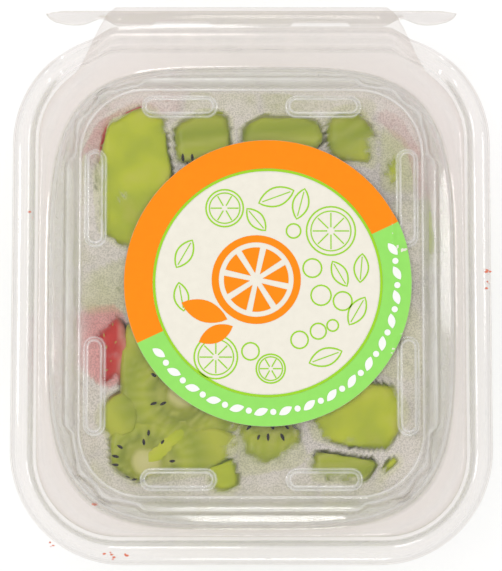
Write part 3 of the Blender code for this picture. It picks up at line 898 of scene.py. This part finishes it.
class Heap:
    """Collects the pieces of one kind in one mesh, with its attributes."""

    def __init__(self):
        self.verts, self.faces, self.values = [], [], {}

    def add(self, verts, faces, **values):
        start = len(self.verts)
        self.verts += [tuple(v) for v in verts]
        self.faces += [tuple(i + start for i in f) for f in faces]
        for key, value in values.items():
            self.values.setdefault(key, []).extend(float(x) for x in value)

    def make(self, name, material, replaced=()):
        mesh = mesh_from(name, [(x * MM, y * MM, z * MM) for x, y, z in self.verts], self.faces)
        for key, value in self.values.items():
            attribute = mesh.attributes.new(key, "FLOAT", "POINT")
            attribute.data.foreach_set("value", value)
        return add_object(name, mesh, PACK, material, replaced)


def clamp_inside(verts, sunk):
    """Flattens a piece where it presses on the lid, sunk mm lower than the limit."""
    verts = verts.copy()
    verts[:, 2] = np.minimum(verts[:, 2], TOP_LIMIT / MM - sunk)
    return verts


def dome_top(verts, top, seed):
    """Lowers a top piece towards its edges, unevenly, so that only its middle presses on the lid."""
    verts = verts.copy()
    middle = verts[:, :2].mean(0)
    radius = np.percentile(np.linalg.norm(verts[:, :2] - middle, axis=1), 92)
    offset = Vector((seed * 5.1, seed * 2.3, 0.7))
    for v in verts:
        if v[2] < top - 6:
            continue
        share = math.hypot(v[0] - middle[0], v[1] - middle[1]) / radius
        flat = Vector((v[0], v[1], 0))
        rough = noise.noise(flat / 5.0 + offset) + 0.5 * noise.noise(flat / 1.9 + offset)
        v[2] += 0.8 - 1.9 * min(share, 1.3) ** 2.5 + 0.9 * rough
    return verts


def kiwi_values(verts, core, direction):
    """Distance from the core line as a share of the fruit's radius, and rays round the line."""
    axis = np.array(direction, float)
    axis /= np.linalg.norm(axis)
    rel = verts - np.array(core)
    flat = rel - np.outer(rel @ axis, axis)
    side = np.cross(axis, (0.3, 0.5, 0.8))
    side /= np.linalg.norm(side)
    other = np.cross(axis, side)
    a, b = flat @ side, flat @ other
    away = np.sqrt(a**2 + (b * 1.12) ** 2) / 20.0
    turn = np.arctan2(b, a)
    streak = 0.5 + 0.5 * np.sin(26 * turn + 2.5 * np.sin(3 * turn) + 0.05 * (rel @ axis))
    return away, streak ** 2


def seed_mesh(heap, at, normal, along, length, width, sunk):
    """A small pointed seed lying on a surface."""
    normal = normal / np.linalg.norm(normal)
    along = along - normal * (along @ normal)
    size = np.linalg.norm(along)
    along = along / size if size > 1e-6 else np.cross(normal, (1, 0, 0))
    across = np.cross(normal, along)
    verts, faces = [], []
    stations, around = 6, 7
    for i in range(stations + 1):
        t = i / stations
        r = math.sin(math.pi * t) ** 0.7 * (0.72 + 0.28 * (1 - t)) if 0 < i < stations else 0.02
        for k in range(around):
            a = TAU * k / around
            verts.append(at + along * (t - 0.5) * length + across * r * width / 2 * math.cos(a)
                         + normal * (r * width * 0.36 * math.sin(a) - sunk))
    for i in range(stations):
        for k in range(around):
            j = (k + 1) % around
            faces.append((i * around + k, i * around + j, (i + 1) * around + j, (i + 1) * around + k))
    faces.append(tuple(range(around))[::-1])
    faces.append(tuple(stations * around + k for k in range(around)))
    heap.add(verts, faces)


def scatter_kiwi_seeds(heap, verts, normals, away, core, direction, count, picker):
    """Seeds in the ring round the core, pointing at it."""
    ring = [i for i in range(len(verts)) if 0.235 < away[i] < 0.46]
    picker.shuffle(ring)
    axis = np.array(direction, float)
    axis /= np.linalg.norm(axis)
    placed = []
    for i in ring:
        if len(placed) >= count:
            break
        if any(np.linalg.norm(verts[i] - p) < 2.1 for p in placed):
            continue
        rel = verts[i] - np.array(core)
        inward = rel - axis * (rel @ axis)
        if abs(inward @ normals[i]) > 0.9 * np.linalg.norm(inward):
            inward = axis.copy()
        placed.append(verts[i])
        seed_mesh(heap, verts[i], normals[i], inward, 1.9 + 0.5 * picker.random(), 1.05, 0.12)


def build_fruit(materials):
    planes = domain_planes()
    heaps = {MELON: Heap(), KIWI: Heap(), BERRY: Heap()}
    kiwi_seeds, berry_seeds = Heap(), Heap()
    picker = random.Random(5)
    pieces = []
    for k, (kind, top, tilt, outline) in enumerate(TOP_PIECES):
        bm = box_bmesh((-60, -70, LAYER_SPLIT / MM + 0.6 + 1.5 * picker.random()), (60, 70, top))
        middle = np.mean(np.array(outline, float), axis=0)
        for a, b in zip(outline, outline[1:] + outline[:1]):
            edge = Vector((b[0] - a[0], b[1] - a[1], 0))
            outward = Vector((edge.y, -edge.x, 0)).normalized()
            if outward.dot(Vector((a[0] - middle[0], a[1] - middle[1], 0))) < 0:
                outward = -outward
            lean = outward + Vector((0, 0, picker.uniform(-0.06, 0.12)))
            at = Vector(((a[0] + b[0]) / 2, (a[1] + b[1]) / 2, 50)) - outward * 0.1
            cut(bm, at, lean.normalized())
        cut(bm, (middle[0], middle[1], top), Vector((tilt[0], tilt[1], 1)).normalized())
        for point, normal in planes if k != SIDE_PIECE else ():
            cut(bm, point, normal)
        pieces.append((kind, bm, top, KIWI_CORES.get(k)))
    centres, kinds = lower_cells(planes)
    for k, centre in enumerate(centres):
        bm = box_bmesh((-60, -70, 0), (60, 70, LAYER_SPLIT / MM - 0.3))
        for point, normal in planes:
            cut(bm, point, normal)
        for other in centres:
            way = Vector(other - centre)
            if 0 < way.length < 60:
                cut(bm, Vector((centre + other) / 2) - way.normalized() * 0.5, way.normalized())
        pieces.append((kinds[k], bm, 99.0, None))
    for k, (kind, bm, top, core) in enumerate(pieces):
        if len(bm.faces) < 4:
            bm.free()
            continue
        verts, normals, faces = round_off(bm, "piece", 1.25, 7 if kind == MELON else 5)
        if len(verts) < 20:
            continue
        broad, fine = {MELON: (0.9, 0.22), KIWI: (0.8, 0.3), BERRY: (0.9, 0.25)}[kind]
        verts = uneven(verts, normals, k, broad, fine)
        if k < len(TOP_PIECES):
            verts = clamp_inside(dome_top(verts, top, k), 0.0 if k == STRIPE_PIECE else 0.04 + 0.03 * (k % 4))
        middle = verts.mean(0)
        if kind == MELON:
            out = np.array([middle[0], middle[1], 0.0])
            out = out / (np.linalg.norm(out) + 1e-9) if k % 3 == 0 else np.array([0, 0, -1.0])
            reach_out = (verts - middle) @ out
            rind = np.clip((reach_out - reach_out.max() + 2.2) / 1.6, 0, 1) * (0.75 if k % 2 else 0.0)
            heaps[kind].add(verts, faces, rind=rind)
        elif kind == KIWI:
            if core is None:
                way = Vector([picker.uniform(-1, 1) for _ in range(3)]).normalized()
                shift = way.cross(Vector((0.2, 0.4, 1))).normalized() * picker.uniform(3, 9)
                core = (tuple(middle + np.array(shift)), tuple(way))
            away, streak = kiwi_values(verts, *core)
            heaps[kind].add(verts, faces, away=away, streak=streak)
            count = FEW_SEEDS.get(k, SEEDS_A_PIECE)
            scatter_kiwi_seeds(kiwi_seeds, verts, normals, away, *core, count, picker)
        else:
            out = np.array([middle[0] * 1.2, middle[1], 6.0])
            out /= np.linalg.norm(out) + 1e-9
            skin = np.clip((normals @ out + 0.15) / 0.25, 0, 1)
            edge = np.clip(((verts - middle) @ out + 4.0) / 9.0, 0, 1)
            heaps[kind].add(verts, faces, skin=skin, edge=edge)
            spots = [i for i in range(len(verts)) if skin[i] > 0.95]
            picker.shuffle(spots)
            placed = []
            for i in spots:
                if all(np.linalg.norm(verts[i] - p) > 2.7 for p in placed):
                    placed.append(verts[i])
                    seed_mesh(berry_seeds, verts[i], normals[i], np.array([0.2, 0.1, -1.0]), 1.3, 0.7, 0.1)
    made = [heaps[MELON].make("melon_pieces", materials[MELON], ("fruit_salad",)),
            heaps[KIWI].make("kiwi_pieces", materials[KIWI]),
            heaps[BERRY].make("strawberry_pieces", materials[BERRY]),
            kiwi_seeds.make("kiwi_seeds", materials["seed"]),
            berry_seeds.make("strawberry_seeds", materials["pip"])]
    return made


def make_core(material):
    """A closed body inside the heap, coloured as painted shade of the fruit and juice deep down, so that no
    gap shows through it.
    """
    verts, faces = [], []
    angles = even_angles(48)
    rings = [ring_points(ring, angles) for ring in
             ((30, 38, 12, 0, 5.0), (38, 46, 14, 0, 9.0), (41, 49, 15, 0, 25.0), (42, 50, 15, 0, 40.0),
              (36, 43, 15, 0, 44.0))]
    verts, faces = skin_mesh(rings)
    faces.append(tuple(range(len(angles)))[::-1])
    fill_disc(verts, faces, (len(rings) - 1) * len(angles), len(angles), 5, lambda x, y: 44.0 * MM)
    return add_object("fruit_core", mesh_from("fruit_core", verts, faces), PACK, material)


# ---- condensation -----------------------------------------------------------------------------
def make_fog(fruit, material):
    """A sheet of fine drops under the lid, clear where fruit presses on it."""
    trees = []
    for obj in fruit[:3]:
        mesh = obj.data
        mesh.calc_loop_triangles()
        trees.append(BVHTree.FromPolygons([v.co[:] for v in mesh.vertices],
                                          [t.vertices[:] for t in mesh.loop_triangles]))
    angles = even_angles(288)
    under = PANEL_UNDER - 0.06 * MM
    outer = [ring_points(r, angles) for r in ((53.1, 60.4, 22, 1.0, 46.5), (52.9, 60.2, 22, 1.0, 49.3),
                                              (52.0, 59.4, 22, 1.0, 50.3), (47.4, 56.2, 18, 0.0, 50.5))]
    inner = [ring_points(r, angles) for r in ((46.7, 55.4, 18, 0.0, 52.9), (45.7, 54.3, 17, 0.0, 53.6),
                                              (45.2, 53.8, 17, 0.0, 55.0), (44.7, 53.3, 17, 0.0, 55.55))]
    rings = outer + inner
    verts, faces = skin_mesh(rings)
    last = (len(rings) - 1) * len(angles)
    fill_disc(verts, faces, last, len(angles), 96, lambda x, y: under + rib_height(x, y) * 0.96)
    values, fruit_glow_shares, berry_glow_shares = [], [], []
    for x, y, z in verts:
        gaps = [9 * MM] * len(trees)
        for step_x, step_y in ((0, 0), (0.7, 0), (-0.7, 0), (0, 0.7), (0, -0.7)):
            start = Vector((x + step_x * MM, y + step_y * MM, z + 0.3 * MM))
            for index, tree in enumerate(trees):
                hit = tree.ray_cast(start, Vector((0, 0, -1)), 9 * MM)
                if hit[0] is not None:
                    gaps[index] = min(gaps[index], z - hit[0].z)
        gap = min(gaps)
        # Painted light: green and pink shares for the drops, stronger where melon, kiwi or strawberry lies
        # close below.
        fruit_glow_shares.append(0.75 - 0.75 * smooth(min(gaps[:2]) / MM, 2.0, 7.5))
        berry_glow_shares.append(0.85 - 0.85 * smooth(gaps[2] / MM, 1.5, 8.5))
        p = Vector((x, y, 0)) * 220
        ragged = noise.noise(p * 0.45) * 0.45 + noise.noise(p) * 0.35 + noise.noise(p * 3.1) * 0.3
        fog = smooth(gap / MM + ragged * 1.7, 0.9, 1.8)
        edge = max(abs(x) / (46.8 * MM), abs(y) / (55.6 * MM))
        fog *= 1.0 - 0.65 * smooth(edge, 0.98, 1.05)
        values.append(fog * (0.86 + 0.3 * noise.noise(Vector((x, y, 3)) * 60)))
    mesh = mesh_from("condensation", verts, faces)
    attribute = mesh.attributes.new("fog", "FLOAT", "POINT")
    attribute.data.foreach_set("value", values)
    for name, shares in (("green", fruit_glow_shares), ("berry_glow", berry_glow_shares)):
        attribute = mesh.attributes.new(name, "FLOAT", "POINT")
        attribute.data.foreach_set("value", shares)
    add_object("condensation", mesh, LID, material)
    return values, verts


def make_wall_fog(material):
    """Condensation on the upper part of the tray's wall, fading downwards."""
    angles = even_angles(288)
    heights = [39.6, 38.4, 36.0, 33.5, 31.0, 28.5, 26.0, 23.5, 21.0]
    rings = [ring_points((53.0, 60.6, 22, 1.0, 42.3), angles)]
    for z in heights:
        t = (z - 2.2) / 35.8
        rings.append(ring_points((45.0 + 6.1 * t, 53.4 + 5.4 * t, 18 + 4 * t, 0.7 * t, z), angles))
    verts, faces = skin_mesh(rings)
    values = []
    for x, y, z in verts:
        fade = smooth(z / MM + 5 * noise.noise(Vector((x, y, z)) * 60), 24, 38)
        values.append(0.45 * fade)
    mesh = mesh_from("wall_condensation", verts, faces)
    attribute = mesh.attributes.new("fog", "FLOAT", "POINT")
    attribute.data.foreach_set("value", values)
    add_object("wall_condensation", mesh, PACK, material)


def make_specks(material):
    """Small flecks of strawberry juice caught on the flange, between lid and rim."""
    picker = random.Random(12)
    groups = [(-41, -55.6, 3), (-52.5, -65.8, 3), (-37, -69.2, 5), (-32.5, -69.4, 2), (63.2, 7, 6),
              (63, 2, 3), (-58.6, 22, 2)]
    under_rim, under_lid = ([], []), ([], [])
    for x, y, count in groups:
        for _ in range(count):
            cx, cy = x + picker.gauss(0, 0.7), y + picker.gauss(0, 0.6)
            r = picker.uniform(0.12, 0.34)
            stretch = picker.uniform(1.0, 2.2)
            inside_rim = max(abs(cx) - 58.4, abs(cy) - 65.2) < 0
            verts, faces = under_lid if inside_rim else under_rim
            start = len(verts)
            z = 44.75 if inside_rim else 46.75
            for k in range(9):
                a = TAU * k / 9
                wob = r * picker.uniform(0.7, 1.2)
                verts.append(((cx + wob * stretch * math.cos(a)) * MM, (cy + wob * math.sin(a)) * MM, z * MM))
            verts.append((cx * MM, cy * MM, (z + 0.1) * MM))
            faces += [(start + k, start + (k + 1) % 9, start + 9) for k in range(9)]
    placed = (("juice_flecks_rim", PACK, under_rim), ("juice_flecks_lid", LID, under_lid))
    for name, body, (verts, faces) in placed:
        add_object(name, mesh_from(name, verts, faces), body, material)


def make_drops(values, verts, material):
    """Larger drops hanging under the lid, where it is fogged."""
    picker = random.Random(31)
    made_verts, made_faces = [], []
    spots = [v for v, f in zip(verts, values) if f > 0.7 and v[2] > 55 * MM]
    for _ in range(DROP_COUNT):
        x, y, z = spots[picker.randrange(len(spots))]
        x += picker.uniform(-0.6, 0.6) * MM
        y += picker.uniform(-0.6, 0.6) * MM
        r = (0.22 + 0.5 * picker.random() ** 5) * MM
        start = len(made_verts)
        for ring, drop in ((1.0, 0.0), (0.86, 0.34), (0.5, 0.58)):
            for k in range(8):
                a = TAU * k / 8
                out_x, out_y = r * ring * math.cos(a), r * ring * math.sin(a)
                made_verts.append((x + out_x, y + out_y, z - 0.05 * MM - r * drop))
        made_verts.append((x, y, z - 0.05 * MM - r * 0.66))
        for level in range(2):
            for k in range(8):
                j = (k + 1) % 8
                a, b = start + level * 8, start + level * 8 + 8
                made_faces.append((a + k, b + k, b + j, a + j))
        for k in range(8):
            made_faces.append((start + 16 + k, start + 24, start + 16 + (k + 1) % 8))
    return add_object("drops", mesh_from("drops", made_verts, made_faces), LID, material)


# ---- stage ------------------------------------------------------------------------------------
# The soft lamps: name, place in metres, size in metres, power in watts.
LAMPS = [("left", (-0.6, 0.1, 0.8), 0.18, 1.2), ("right", (0.65, 0.15, 0.75), 0.18, 0.6),
         ("front", (0.05, -0.75, 0.75), 0.2, 1.1), ("back", (-0.1, 0.75, 0.8), 0.2, 1.0)]
SKY_STRENGTH = 0.75


def make_stage():
    n = Nodes("white_surface")
    path = n.add("LightPath")
    seen = n.math("MAXIMUM", path.outputs["Is Camera Ray"],
                  n.math("MAXIMUM", path.outputs["Is Glossy Ray"], path.outputs["Is Transmission Ray"]))
    floor_shade = n.add("BsdfDiffuse", {"Color": (0.6, 0.6, 0.6, 1)})
    glow = n.add("Emission", {"Color": (1, 1, 1, 1), "Strength": 0.5})
    both = n.add("AddShader", links={0: floor_shade.outputs[0], 1: glow.outputs[0]})
    mixed = n.add("MixShader", links={0: seen, 1: floor_shade.outputs[0], 2: both.outputs[0]})
    white = n.finish(mixed.outputs[0])
    bpy.ops.mesh.primitive_plane_add(size=6.0, location=(0, 0, -0.0002))
    floor = bpy.context.object
    floor.name = "floor"
    floor.data.materials.append(white)
    world = bpy.data.worlds.new("studio")
    bpy.context.scene.world = world
    world.use_nodes = True
    back = world.node_tree.nodes["Background"]
    back.inputs["Color"].default_value = (1, 1, 1, 1)
    back.inputs["Strength"].default_value = SKY_STRENGTH
    for name, place, size, power in LAMPS:
        light = bpy.data.lights.new(name, "AREA")
        light.size = size
        light.energy = power
        lamp = bpy.data.objects.new(name, light)
        lamp.location = place
        lamp.rotation_euler = (Vector((0, 0, 0.03)) - Vector(place)).to_track_quat("-Z", "Y").to_euler()
        bpy.context.collection.objects.link(lamp)


CAMERA_TILT = math.radians(5.8)
CAMERA_AWAY = 0.62
CAMERA_AIM = Vector((-0.0001, 0.0028, 0.0445))


def make_camera():
    data = bpy.data.cameras.new("camera")
    data.sensor_width = 36.0
    data.lens = 146.0
    camera = bpy.data.objects.new("camera", data)
    bpy.context.collection.objects.link(camera)
    camera.location = CAMERA_AIM + CAMERA_AWAY * Vector((0, -math.sin(CAMERA_TILT), math.cos(CAMERA_TILT)))
    camera.rotation_euler = (CAMERA_TILT, 0, 0)
    bpy.context.scene.camera = camera


def main():
    scene = bpy.context.scene
    scene.view_settings.view_transform = "Standard"
    scene.cycles.transparent_max_bounces = 24
    make_camera()
    make_stage()
    angles = even_angles(POINTS_ROUND)
    clear = clear_material("clear_sheet")
    make_tray(angles, clear)
    make_lid(angles, clear)
    make_tear_strip(clear)
    make_label()
    materials = {MELON: melon_material(), KIWI: kiwi_material(), BERRY: strawberry_material(),
                 "seed": plain_material("kiwi_seed", rgb(30, 24, 20), 0.3, 0.1),
                 "pip": plain_material("strawberry_pip", rgb(206, 170, 80), 0.35, 0.1)}
    fruit = build_fruit(materials)
    # Painted shade: the olive colour of the heap's shaded inside.
    make_core(plain_material("juice_shade", rgb(186, 192, 124), 0.4, 0.1))
    mist = fog_material()
    values, verts = make_fog(fruit, mist)
    make_wall_fog(mist)
    make_specks(plain_material("juice_fleck", rgb(226, 120, 92), 0.3, 0.1))
    make_drops(values, verts, drop_material())


main()
